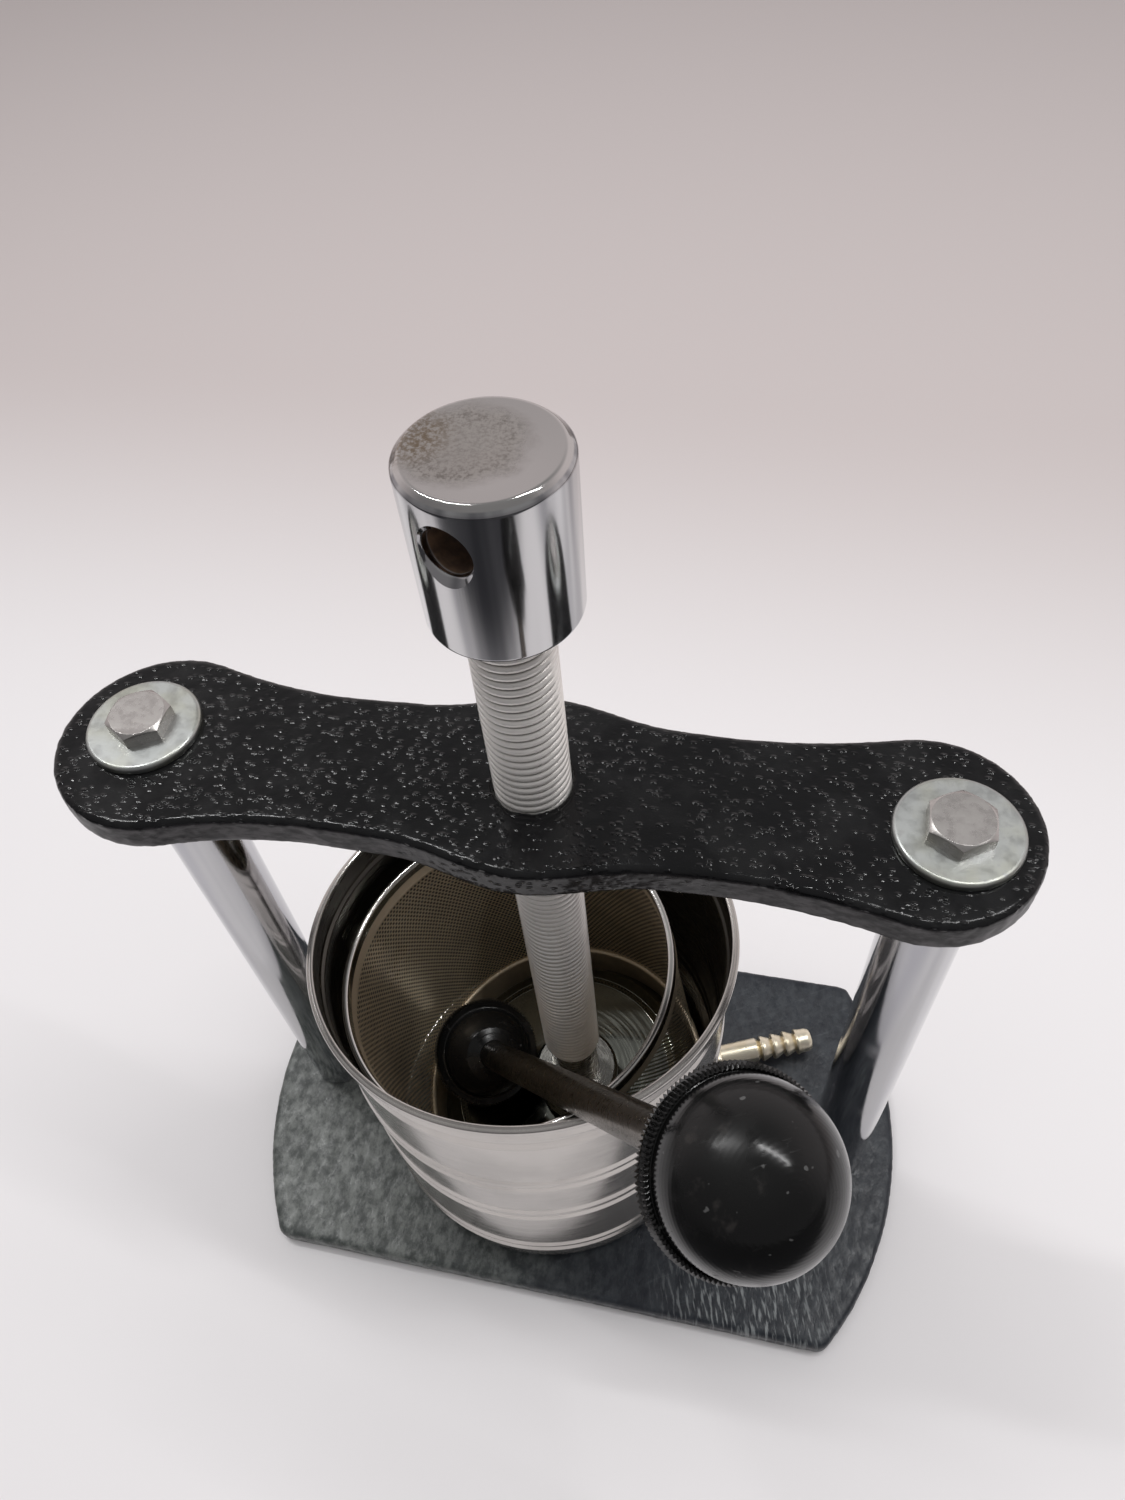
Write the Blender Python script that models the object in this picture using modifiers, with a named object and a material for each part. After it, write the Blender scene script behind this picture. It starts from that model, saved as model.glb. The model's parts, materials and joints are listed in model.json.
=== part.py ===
"""Small screw press for fruit: a plate, two pillars and a crossbar carry a screw, which presses
in a perforated basket inside a drained vessel. The T-bar lies loose in the basket.

Lengths are millimetres times MM. X runs along the crossbar, the front is -Y, Z is up, and the
origin is the middle of the base plate's underside.
"""
from math import asin, atan2, cos, degrees, pi, radians, sin

import bmesh
import bpy
from mathutils import Matrix, Vector

MM = 0.001
GAP = 0.3  # between pieces that touch

# Base plate: a disc with two flats
BASE_RADIUS = 125.0
BASE_DEPTH = 141.0
BASE_THICK = 9.0

# Frame
PILLAR_X = 102.0
PILLAR_RADIUS = 10.0
BAR_TOP = 234.0
BAR_THICK = 10.0
BAR_LEFT_X = 97.0  # middle of each round end, from the frame's middle
BAR_RIGHT_X = 96.0
BAR_LEFT_RADIUS = 27.9
BAR_RIGHT_RADIUS = 26.4
BAR_TURN = 1.0  # the casting was drilled a little off its own middle line
BAR_SHIFT = -0.45
BAR_WAIST = 20.6
BAR_MIDDLE = 27.1
BOLT_RADIUS = 5.0  # M10
BOLT_HEX = 14.8
BOLT_HEAD = 4.6
WASHER_RADIUS = 14.4
WASHER_THICK = 1.4

# Press screw, M20 x 2.5
SCREW_X = 2.0
SCREW_RADIUS = 9.7
SCREW_HOLE = 10.0
THREAD_START = 76.0
JOURNAL_RADIUS = 8.0
HEAD_RADIUS = 16.1
HEAD_BOTTOM = 294.5
HEAD_TOP = 331.5
CROSS_HOLE_Z = 320.3
CROSS_HOLE_RADIUS = 5.8
CROSS_HOLE_TURN = -106.0  # degrees from +X
FOOT_RADIUS = 15.5
FOOT_BOTTOM = 36.0
FOOT_TOP = 50.0
GRUB_Z = 44.5

# Vessel
VESSEL_X, VESSEL_Y = -9.8, 0.8
VESSEL_RADIUS = 62.8
VESSEL_WALL = 1.0
VESSEL_TOP = 147.6
MOUTH_OVAL = 3.2  # the thin mouth is pressed this far out of round
MOUTH_TURN = 13.0  # its long way, degrees from +X
OUTLET_TURN = 21.8
OUTLET_Z = 17.3
OUTLET_HEX = 12.0

# Basket, leaning because one side of its floor stands on the outlet's nut
BASKET_X, BASKET_Y = -1.7, 2.4
BASKET_RADIUS = 53.5
BASKET_WALL = 0.8
BASKET_HEIGHT = 116.5
BASKET_SLOPE = 0.13
PLATE_RADIUS = 51.4
PLATE_HEIGHT = 13.0

# T-bar, from the middle of one knob to the middle of the other
INNER_KNOB = Vector((-34.6, 0.5, 47.5))
OUTER_KNOB = Vector((63.2, -85.3, 237.3))
ROD_RADIUS = 5.0
KNOB_RADIUS = 18.7
COLLAR_RADIUS = 19.7
COLLAR_LOW, COLLAR_HIGH = 2.7, 6.5  # from the ball's middle toward the rod
BUSH_RADIUS = 6.5


def clear_scene():
    for obj in list(bpy.data.objects):
        bpy.data.objects.remove(obj)


def collection(name):
    made = bpy.data.collections.new(name)
    bpy.context.scene.collection.children.link(made)
    return made


def material(name, colour, roughness, metallic):
    mat = bpy.data.materials.new(name)
    mat.use_nodes = True
    shader = mat.node_tree.nodes["Principled BSDF"]
    shader.inputs["Base Color"].default_value = (*colour, 1.0)
    shader.inputs["Roughness"].default_value = roughness
    shader.inputs["Metallic"].default_value = metallic
    return mat


def finish(obj, look):
    """Link a piece into the press and give it a material of its own."""
    parts.objects.link(obj)
    obj.data.materials.append(material(obj.name, *look))
    return obj


def at(x=0.0, y=0.0, z=0.0):
    return Matrix.Translation(Vector((x, y, z)) * MM)


def along(start, direction, roll=0.0):
    """Placement whose Z axis runs along direction from start."""
    turn = Vector(direction).to_track_quat("Z", "Y").to_matrix().to_4x4()
    return Matrix.Translation(Vector(start) * MM) @ turn @ Matrix.Rotation(radians(roll), 4, "Z")


def profile_mesh(name, profile):
    """Edges through (radius, height) points; a profile that leaves the axis free is closed."""
    points = [(r * MM, 0.0, z * MM) for r, z in profile]
    edges = [(i, i + 1) for i in range(len(points) - 1)]
    if profile[0][0] > 0.0:
        edges.append((len(points) - 1, 0))
    mesh = bpy.data.meshes.new(name)
    mesh.from_pydata(points, edges, [])
    return mesh


def turned(name, profile, place, look=None, segments=40):
    """A profile, top to bottom down its outer side, turned about its own Z axis."""
    obj = bpy.data.objects.new(name, profile_mesh(name, profile))
    obj.matrix_world = place
    screw = obj.modifiers.new("Turn", "SCREW")
    screw.steps = segments
    screw.render_steps = segments
    screw.use_merge_vertices = True
    screw.merge_threshold = 0.00001
    screw.use_normal_calculate = False
    if look:
        finish(obj, look)
    return obj


def disc(radius, low, high):
    return [(0.0, high), (radius, high), (radius, low), (0.0, low)]


def ring(inner, outer, low, high):
    return [(outer, high), (outer, low), (inner, low), (inner, high)]


def arc(centre_r, centre_z, radius, start, end, steps):
    """Points of a profile along an arc, angles in degrees from +r."""
    turns = [radians(start + (end - start) * i / steps) for i in range(steps + 1)]
    return [(centre_r + radius * cos(t), centre_z + radius * sin(t)) for t in turns]


def prism(name, across_flats, low, high, place, look=None):
    """A hexagonal prism about its own Z axis."""
    mesh = bpy.data.meshes.new(name)
    bm = bmesh.new()
    corner = across_flats / 2 / cos(pi / 6) * MM
    middle = Matrix.Translation((0, 0, (low + high) / 2 * MM))
    bmesh.ops.create_cone(bm, cap_ends=True, segments=6, radius1=corner, radius2=corner,
                          depth=(high - low) * MM, matrix=middle)
    bm.to_mesh(mesh)
    bm.free()
    obj = bpy.data.objects.new(name, mesh)
    obj.matrix_world = place
    if look:
        finish(obj, look)
    return obj


def outline_plate(name, outline, thickness, place, look):
    """A flat outline extruded to a plate, as a mesh that can be cut."""
    curve = bpy.data.curves.new(name, "CURVE")
    curve.dimensions = "2D"
    curve.fill_mode = "BOTH"
    curve.extrude = thickness / 2 * MM
    spline = curve.splines.new("POLY")
    spline.points.add(len(outline) - 1)
    spline.use_cyclic_u = True
    for point, (x, y) in zip(spline.points, outline):
        point.co = (x * MM, y * MM, 0.0, 1.0)
    flat = bpy.data.objects.new(name + "_outline", curve)
    bpy.context.scene.collection.objects.link(flat)
    mesh = bpy.data.meshes.new_from_object(flat.evaluated_get(bpy.context.evaluated_depsgraph_get()))
    bpy.data.objects.remove(flat)
    bm = bmesh.new()
    bm.from_mesh(mesh)
    bmesh.ops.remove_doubles(bm, verts=bm.verts, dist=0.00001)
    bmesh.ops.dissolve_limit(bm, angle_limit=radians(0.05), verts=bm.verts, edges=bm.edges)
    bm.to_mesh(mesh)
    bm.free()
    mesh.materials.clear()
    obj = bpy.data.objects.new(name, mesh)
    obj.matrix_world = place
    return finish(obj, look)


def bevel(obj, width, segments, angle=35.0):
    mod = obj.modifiers.new("Bevel", "BEVEL")
    mod.width = width * MM
    mod.segments = segments
    mod.limit_method = "ANGLE"
    mod.angle_limit = radians(angle)
    mod.use_clamp_overlap = True


def combine(obj, tool, operation="DIFFERENCE"):
    """Cut a tool from a piece, or join it on; the tool stays as a guide."""
    cutters.objects.link(tool)
    tool.hide_render = True
    tool.display_type = "WIRE"
    mod = obj.modifiers.new(tool.name, "BOOLEAN")
    mod.operation = operation
    mod.object = tool
    mod.solver = "EXACT"


def base_outline():
    """Disc with flats front and back; the corners are rounded off."""
    half = BASE_DEPTH / 2
    corner = 5.0
    reach = BASE_RADIUS - corner
    turn = asin((half - corner) / reach)
    centre = Vector((reach * cos(turn), half - corner))
    quarter = [Vector((BASE_RADIUS * cos(turn * i / 10), BASE_RADIUS * sin(turn * i / 10)))
               for i in range(11)]
    quarter += [centre + corner * Vector((cos(t), sin(t)))
                for t in (turn + (pi / 2 - turn) * i / 3 for i in range(1, 4))]
    right = [(p.x, -p.y) for p in reversed(quarter[1:])] + [(p.x, p.y) for p in quarter]
    return right + [(-x, -y) for x, y in right]


def bar_outline():
    """Round ends, a slim waist each side and a middle lobe round the screw."""
    leave = radians(105.0)
    join_left = BAR_LEFT_X + BAR_LEFT_RADIUS * cos(leave)
    join_right = BAR_RIGHT_X + BAR_RIGHT_RADIUS * cos(leave)
    waist_x = 50.0
    lobe = 34.0
    shoulder = 0.4  # how much wider the bar is beside the lobe than at the waist

    def half_width(x):
        if abs(x) > waist_x:
            join_x, end_radius = (join_right, BAR_RIGHT_RADIUS) if x > 0 else (join_left, BAR_LEFT_RADIUS)
            rise = end_radius * sin(leave) - BAR_WAIST
            return BAR_WAIST + rise * ((abs(x) - waist_x) / (join_x - waist_x)) ** 2
        if abs(x - SCREW_X) < lobe:
            swell = (1 + cos(pi * (x - SCREW_X) / lobe)) / 2
            return BAR_WAIST + shoulder + (BAR_MIDDLE - BAR_WAIST - shoulder) * swell
        return BAR_WAIST + shoulder * ((waist_x - abs(x)) / (waist_x - lobe)) ** 2

    end = [-leave + 2 * leave * i / 20 for i in range(21)]
    right = [(BAR_RIGHT_X + BAR_RIGHT_RADIUS * cos(t), BAR_RIGHT_RADIUS * sin(t)) for t in end]
    left = [(-BAR_LEFT_X - BAR_LEFT_RADIUS * cos(t), -BAR_LEFT_RADIUS * sin(t)) for t in end]
    runs = [join_right - (join_right + join_left) * i / 36 for i in range(1, 36)]
    back = [(x, half_width(x)) for x in runs]
    front = [(x, -half_width(x)) for x in reversed(runs)]
    turn = radians(BAR_TURN)
    return [(x * cos(turn) - y * sin(turn), x * sin(turn) + y * cos(turn) + BAR_SHIFT)
            for x, y in right + back + left + front]


clear_scene()
parts = collection("fruit_press")
cutters = collection("cutters")

BLACK_PAINT = ((0.012, 0.013, 0.014), 0.4, 0.0)
CHROME = ((0.62, 0.62, 0.63), 0.12, 1.0)
STEEL = ((0.5, 0.49, 0.47), 0.3, 1.0)
ZINC = ((0.6, 0.62, 0.62), 0.35, 1.0)
STAINLESS = ((0.55, 0.54, 0.51), 0.22, 1.0)
BRASS = ((0.66, 0.55, 0.3), 0.28, 1.0)
RUBBER = ((0.02, 0.02, 0.02), 0.8, 0.0)
PLASTIC = ((0.012, 0.012, 0.012), 0.25, 0.0)

BAR_BOTTOM = BAR_TOP - BAR_THICK
PILLAR_LOW = BASE_THICK + GAP
PILLAR_HIGH = BAR_BOTTOM - GAP
TAP_DEPTH = 24.0
TAP = BOLT_RADIUS + GAP

# --- Frame -------------------------------------------------------------------------------------

base = outline_plate("base_plate", base_outline(), BASE_THICK, at(z=BASE_THICK / 2), BLACK_PAINT)
bar = outline_plate("crossbar", bar_outline(), BAR_THICK, at(z=BAR_TOP - BAR_THICK / 2),
                    BLACK_PAINT)
bevel(base, 1.6, 2)
bevel(bar, 1.3, 2)
combine(bar, turned("screw_tapping", disc(SCREW_HOLE, BAR_BOTTOM - 5, BAR_TOP + 5),
                    at(SCREW_X), segments=48))

SINK = 10.4  # countersink radius at the plate's underside
for side, x in (("left", -PILLAR_X), ("right", PILLAR_X)):
    place = at(x)
    pillar = turned(f"{side}_pillar",
                    [(0, PILLAR_HIGH), (PILLAR_RADIUS - 0.6, PILLAR_HIGH),
                     (PILLAR_RADIUS, PILLAR_HIGH - 0.6), (PILLAR_RADIUS, PILLAR_LOW + 0.6),
                     (PILLAR_RADIUS - 0.6, PILLAR_LOW), (0, PILLAR_LOW)], place, CHROME)
    combine(pillar, turned(f"{side}_top_tapping", disc(TAP, PILLAR_HIGH - TAP_DEPTH, BAR_TOP),
                           place, segments=32))
    combine(pillar, turned(f"{side}_low_tapping", disc(TAP, 0, PILLAR_LOW + TAP_DEPTH),
                           place, segments=32))
    combine(bar, turned(f"{side}_bar_hole", disc(TAP, BAR_BOTTOM - 5, BAR_TOP + 5),
                        place, segments=32))
    combine(base, turned(f"{side}_countersink",
                         [(0, BASE_THICK + 5), (TAP, BASE_THICK + 5), (TAP, SINK - TAP),
                          (SINK, 0), (SINK, -5), (0, -5)], place, segments=32))

    screw = turned(f"{side}_base_screw",
                   [(0, 27), (4.2, 27), (BOLT_RADIUS, 26.2),
                    (BOLT_RADIUS, SINK - 0.5 - BOLT_RADIUS), (SINK - 1.2, 0.7),
                    (SINK - 1.2, 0.3), (0, 0.3)],
                   place, ZINC, segments=32)
    combine(screw, prism(f"{side}_base_socket", 6.0, -2, 3.6, place))

    turned(f"{side}_top_washer",
           ring(TAP, WASHER_RADIUS, BAR_TOP + GAP, BAR_TOP + GAP + WASHER_THICK), place, ZINC)

    seat = BAR_TOP + WASHER_THICK + 2 * GAP
    bolt = prism(f"{side}_top_bolt", BOLT_HEX, seat, seat + BOLT_HEAD, place, ZINC)
    crown = BOLT_HEX / 2 - 0.3
    combine(bolt, turned(f"{side}_bolt_chamfer",
                         [(0, seat + BOLT_HEAD), (crown, seat + BOLT_HEAD),
                          (crown + 3.0, seat + BOLT_HEAD - 1.7), (crown + 3.0, seat - 1),
                          (0, seat - 1)], place, segments=48), "INTERSECT")
    combine(bolt, turned(f"{side}_bolt_shank",
                         [(0, seat + 2), (BOLT_RADIUS, seat + 2), (BOLT_RADIUS, seat - 30),
                          (BOLT_RADIUS - 1, seat - 31), (0, seat - 31)], place, segments=32),
            "UNION")

# --- Press screw -------------------------------------------------------------------------------

axis = at(SCREW_X)
SCREW_TOP = 307.0
FOOT_FLOOR = 39.0
SCREW_END = FOOT_FLOOR + 1.6
GROOVE_RADIUS = 6.3
turned("press_screw",
       [(0, SCREW_TOP), (SCREW_RADIUS - 1, SCREW_TOP), (SCREW_RADIUS, SCREW_TOP - 1),
        (SCREW_RADIUS, THREAD_START + 1.7), (JOURNAL_RADIUS, THREAD_START),
        (JOURNAL_RADIUS, GRUB_Z + 1.8), (GROOVE_RADIUS, GRUB_Z + 1.8),
        (GROOVE_RADIUS, GRUB_Z - 1.8), (JOURNAL_RADIUS, GRUB_Z - 1.8),
        (JOURNAL_RADIUS, SCREW_END + 0.8), (JOURNAL_RADIUS - 0.8, SCREW_END), (0, SCREW_END)],
       axis, STEEL, segments=48)

head = turned("screw_head",
              [(0, HEAD_TOP), (HEAD_RADIUS - 1.3, HEAD_TOP), (HEAD_RADIUS, HEAD_TOP - 1.2),
               (HEAD_RADIUS, HEAD_BOTTOM + 0.7), (HEAD_RADIUS - 0.7, HEAD_BOTTOM),
               (0, HEAD_BOTTOM)], axis, CHROME, segments=48)
combine(head, turned("head_bore", disc(SCREW_HOLE, HEAD_BOTTOM - 5, SCREW_TOP + GAP), axis,
                     segments=48))
hole_way = Vector((cos(radians(CROSS_HOLE_TURN)), sin(radians(CROSS_HOLE_TURN)), 0))
mouth = HEAD_RADIUS - 1.2
flare = CROSS_HOLE_RADIUS + 3.0
combine(head, turned("cross_hole",
                     [(0, mouth + 3), (flare + 0.2, mouth + 3), (CROSS_HOLE_RADIUS, mouth - 0.2),
                      (CROSS_HOLE_RADIUS, 0.2 - mouth), (flare + 0.2, -mouth - 3),
                      (0, -mouth - 3)],
                     along((SCREW_X, 0, CROSS_HOLE_Z), hole_way), segments=40))

foot = turned("press_foot",
              [(0, FOOT_FLOOR), (JOURNAL_RADIUS + GAP, FOOT_FLOOR),
               (JOURNAL_RADIUS + GAP, FOOT_TOP), (FOOT_RADIUS - 1.2, FOOT_TOP),
               (FOOT_RADIUS, FOOT_TOP - 1.2), (FOOT_RADIUS, FOOT_BOTTOM + 0.6),
               (FOOT_RADIUS - 0.6, FOOT_BOTTOM), (0, FOOT_BOTTOM)], axis, STEEL, segments=48)
turned("thrust_washer",
       disc(JOURNAL_RADIUS - 0.2, FOOT_FLOOR + GAP, SCREW_END - GAP), axis, BRASS, segments=32)
for side, way in (("front", Vector((0, -1, 0))), ("rear", Vector((0, 1, 0)))):
    place = along((SCREW_X, 0, GRUB_Z), way)
    combine(foot, turned(f"{side}_grub_tapping", disc(2.2, 7.0, FOOT_RADIUS + 3), place,
                         segments=16))
    grub = turned(f"{side}_grub_screw",
                  [(0, 14.8), (1.5, 14.8), (1.9, 14.4), (1.9, 8.9), (1.3, 8.3),
                   (1.3, GROOVE_RADIUS + GAP), (0, GROOVE_RADIUS + GAP)], place, STEEL,
                  segments=16)
    combine(grub, prism(f"{side}_grub_socket", 2.0, 13.0, 17.0, place))

# --- Vessel ------------------------------------------------------------------------------------

stand = at(VESSEL_X, VESSEL_Y)
FLOOR_LOW = BASE_THICK + GAP


def press_oval(obj):
    """Press a turned piece out of round: not at the vessel's floor, and most at its mouth."""
    graph = bpy.context.evaluated_depsgraph_get()
    obj.data = bpy.data.meshes.new_from_object(obj.evaluated_get(graph))
    obj.modifiers.clear()
    for vert in obj.data.vertices:
        rise = max(0.0, (vert.co.z / MM - FLOOR_LOW) / (VESSEL_TOP - FLOOR_LOW)) ** 1.5
        turn = atan2(vert.co.y, vert.co.x) - radians(MOUTH_TURN)
        vert.co.xy *= 1 + MOUTH_OVAL / VESSEL_RADIUS * rise * cos(2 * turn)


BODY_INSIDE = VESSEL_RADIUS - VESSEL_WALL
BEAD = 1.3
NECK_LOW, NECK_HIGH, NECK_DEPTH = 132.4, 136.8, 1.1
bead = arc(VESSEL_RADIUS - 0.3, VESSEL_TOP - BEAD, BEAD, 130, -60, 4)
outside = bead + [(VESSEL_RADIUS - 0.8, NECK_HIGH + 0.8),
                  (VESSEL_RADIUS - NECK_DEPTH, NECK_HIGH), (VESSEL_RADIUS - NECK_DEPTH, NECK_LOW),
                  (VESSEL_RADIUS, NECK_LOW - 1.6)]
outside += arc(VESSEL_RADIUS - 3, FLOOR_LOW + 3, 3, 0, -90, 3)
inside = [(0, FLOOR_LOW + VESSEL_WALL)]
inside += arc(BODY_INSIDE - 2, FLOOR_LOW + VESSEL_WALL + 2, 2, -90, 0, 2)
inside += [(BODY_INSIDE, NECK_LOW - 2.2), (BODY_INSIDE - NECK_DEPTH, NECK_LOW - 0.4),
           (BODY_INSIDE - NECK_DEPTH, NECK_HIGH + 0.4), (BODY_INSIDE - 0.8, NECK_HIGH + 1.2)]
vessel = turned("vessel", inside + outside + [(0, FLOOR_LOW)], stand, STAINLESS, segments=64)
press_oval(vessel)

outlet_way = Vector((cos(radians(OUTLET_TURN)), sin(radians(OUTLET_TURN)), 0))
outlet = along((VESSEL_X, VESSEL_Y, OUTLET_Z), outlet_way)
outlet_flat = outlet @ Matrix.Rotation(radians(30), 4, "Z")
TAIL_RADIUS = 3.9
OUTLET_END = 106.0
SHOULDER_LOW, SHOULDER_HIGH = 64.9, 69.0
combine(vessel, turned("outlet_hole", disc(TAIL_RADIUS + GAP, 50, 72), outlet, segments=32))
turned("outlet_gasket", ring(TAIL_RADIUS + GAP, 6.3, VESSEL_RADIUS + 0.5, SHOULDER_LOW - GAP),
       outlet, RUBBER, segments=32)
barb = prism("outlet_barb", OUTLET_HEX, SHOULDER_LOW, SHOULDER_HIGH, outlet_flat, BRASS)
stem = [(2.3, OUTLET_END), (3.2, OUTLET_END)]
for i in range(4):
    top = OUTLET_END - 1.0 - 4.8 * i
    stem += [(3.3, top), (4.3, top - 4.0), (3.5, top - 4.4)]
stem += [(4.2, OUTLET_END - 22.0), (4.2, SHOULDER_HIGH - 1), (TAIL_RADIUS, SHOULDER_LOW + 1),
         (TAIL_RADIUS, 55.4), (TAIL_RADIUS - 0.6, 54.8), (2.3, 54.8)]
combine(barb, turned("outlet_stem", stem, outlet, segments=24), "UNION")
combine(barb, turned("outlet_bore", disc(2.3, 50, 110), outlet, segments=24))
nut = prism("outlet_nut", OUTLET_HEX, 56.0, 61.0, outlet_flat, BRASS)
combine(nut, turned("nut_bore", disc(TAIL_RADIUS + GAP, 50, 65), outlet, segments=32))

# --- Basket ------------------------------------------------------------------------------------

slope_way = Vector((cos(radians(OUTLET_TURN)), sin(radians(OUTLET_TURN)), 0)) * BASKET_SLOPE
basket_up = Vector((-slope_way.x, -slope_way.y, 1.0)).normalized()
edge_drop = BASKET_RADIUS * BASKET_SLOPE / (1 + BASKET_SLOPE ** 2) ** 0.5
basket_low = FLOOR_LOW + VESSEL_WALL + GAP + edge_drop
tilted = along((BASKET_X, BASKET_Y, basket_low), basket_up)
BASKET_INSIDE = BASKET_RADIUS - BASKET_WALL
turned("basket_shell", ring(BASKET_INSIDE, BASKET_RADIUS, 0, BASKET_HEIGHT), tilted, STAINLESS,
       segments=64)
RIM_IN, RIM_OUT = BASKET_INSIDE - 0.7, BASKET_RADIUS + 0.7
RIM_TOP = BASKET_HEIGHT + 1.0
turned("basket_rim",
       [(RIM_IN + 0.3, RIM_TOP), (RIM_OUT - 0.3, RIM_TOP), (RIM_OUT, RIM_TOP - 0.3),
        (RIM_OUT, RIM_TOP - 4), (RIM_OUT - 0.4, RIM_TOP - 4),
        (RIM_OUT - 0.4, BASKET_HEIGHT + GAP), (RIM_IN + 0.4, BASKET_HEIGHT + GAP),
        (RIM_IN + 0.4, RIM_TOP - 4), (RIM_IN, RIM_TOP - 4), (RIM_IN, RIM_TOP - 0.3)],
       tilted, STAINLESS, segments=64)
turned("basket_floor", disc(BASKET_INSIDE - GAP, 0.2, 1.2), tilted, STAINLESS, segments=64)

PLATE_LOW = 1.5
PLATE_TOP = PLATE_LOW + PLATE_HEIGHT
plate = [(0, PLATE_TOP)] + arc(PLATE_RADIUS - 2.5, PLATE_TOP - 2.5, 2.5, 90, 0, 3)
plate += [(PLATE_RADIUS, PLATE_LOW), (PLATE_RADIUS - 1.2, PLATE_LOW)]
plate += arc(PLATE_RADIUS - 2.5, PLATE_TOP - 2.5, 1.3, 0, 90, 2) + [(0, PLATE_TOP - 1.2)]
turned("press_plate", plate, tilted, STAINLESS, segments=64)

# --- T-bar -------------------------------------------------------------------------------------

rod_way = (OUTER_KNOB - INNER_KNOB).normalized()
rod_length = (OUTER_KNOB - INNER_KNOB).length
KNOB_BACK = 17.0
BUSH_DEEP = 3.0
rod_end = BUSH_DEEP + 1.0
turned("handle_rod",
       [(0, rod_length - rod_end), (ROD_RADIUS - 0.8, rod_length - rod_end),
        (ROD_RADIUS, rod_length - rod_end - 0.8), (ROD_RADIUS, rod_end + 0.8),
        (ROD_RADIUS - 0.8, rod_end), (0, rod_end)], along(INNER_KNOB, rod_way), STEEL)
knob = [(0, -KNOB_RADIUS)] + arc(0, 0, KNOB_RADIUS, -80, 8, 10)
knob += [(COLLAR_RADIUS, COLLAR_LOW), (COLLAR_RADIUS, COLLAR_HIGH)] + arc(0, 3, 17.0, 13, 48, 3)
knob += [(9.0, KNOB_BACK), (BUSH_RADIUS + GAP, KNOB_BACK), (BUSH_RADIUS + GAP, BUSH_DEEP - GAP),
         (0, BUSH_DEEP - GAP)]
knob.reverse()
bush = ring(ROD_RADIUS + GAP, BUSH_RADIUS, BUSH_DEEP, KNOB_BACK)
for name, middle, way in (("inner_knob", INNER_KNOB, rod_way), ("outer_knob", OUTER_KNOB, -rod_way)):
    turned(name, knob, along(middle, way), PLASTIC)
    turned(f"{name}_bush", bush, along(middle, way), BRASS, segments=32)

for obj in parts.objects:
    obj.data.shade_smooth()
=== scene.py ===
"""Looks of the small fruit press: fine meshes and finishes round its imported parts, then floor, lamps and camera.

Lengths in a profile are millimetres, as (radius, height) from the piece's own place; MM turns them into metres.
"""
import json
from math import atan2, cos, pi, radians, sin, tan

import bmesh
import bpy
from mathutils import Matrix, Vector, noise


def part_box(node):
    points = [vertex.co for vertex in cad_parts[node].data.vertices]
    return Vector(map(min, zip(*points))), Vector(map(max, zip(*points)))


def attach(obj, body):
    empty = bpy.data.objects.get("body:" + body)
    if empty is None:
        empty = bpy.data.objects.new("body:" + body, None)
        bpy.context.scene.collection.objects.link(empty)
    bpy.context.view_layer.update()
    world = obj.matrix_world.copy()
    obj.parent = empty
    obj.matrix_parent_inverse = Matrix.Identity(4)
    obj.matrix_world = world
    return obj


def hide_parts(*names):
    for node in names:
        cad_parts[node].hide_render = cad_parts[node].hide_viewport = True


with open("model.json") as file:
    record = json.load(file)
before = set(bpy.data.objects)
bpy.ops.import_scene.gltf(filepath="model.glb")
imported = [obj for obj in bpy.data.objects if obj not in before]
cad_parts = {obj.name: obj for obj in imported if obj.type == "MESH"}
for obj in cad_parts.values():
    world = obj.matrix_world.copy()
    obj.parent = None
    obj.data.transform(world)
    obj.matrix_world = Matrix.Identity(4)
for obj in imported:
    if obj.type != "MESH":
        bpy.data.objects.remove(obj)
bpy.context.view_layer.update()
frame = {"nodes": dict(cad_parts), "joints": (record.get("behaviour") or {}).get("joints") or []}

MM = 0.001
JOINTS = {joint["name"]: joint for joint in frame["joints"]}


# --- Finishes: shader maths ------------------------------------------------------------------

class Value:
    """A number or vector that changes over a surface; sums on it become Math nodes."""

    def __init__(self, finish, socket):
        self.finish = finish
        self.socket = socket

    def maths(self, operation, *inputs):
        return self.finish.node("ShaderNodeMath", {"operation": operation}, dict(enumerate(inputs)))

    def __add__(self, other):
        return self.maths("ADD", self, other)

    def __sub__(self, other):
        return self.maths("SUBTRACT", self, other)

    def __rsub__(self, other):
        return self.maths("SUBTRACT", other, self)

    def __mul__(self, other):
        return self.maths("MULTIPLY", self, other)

    def __pow__(self, other):
        return self.maths("POWER", self, other)

    __radd__ = __add__
    __rmul__ = __mul__


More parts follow.
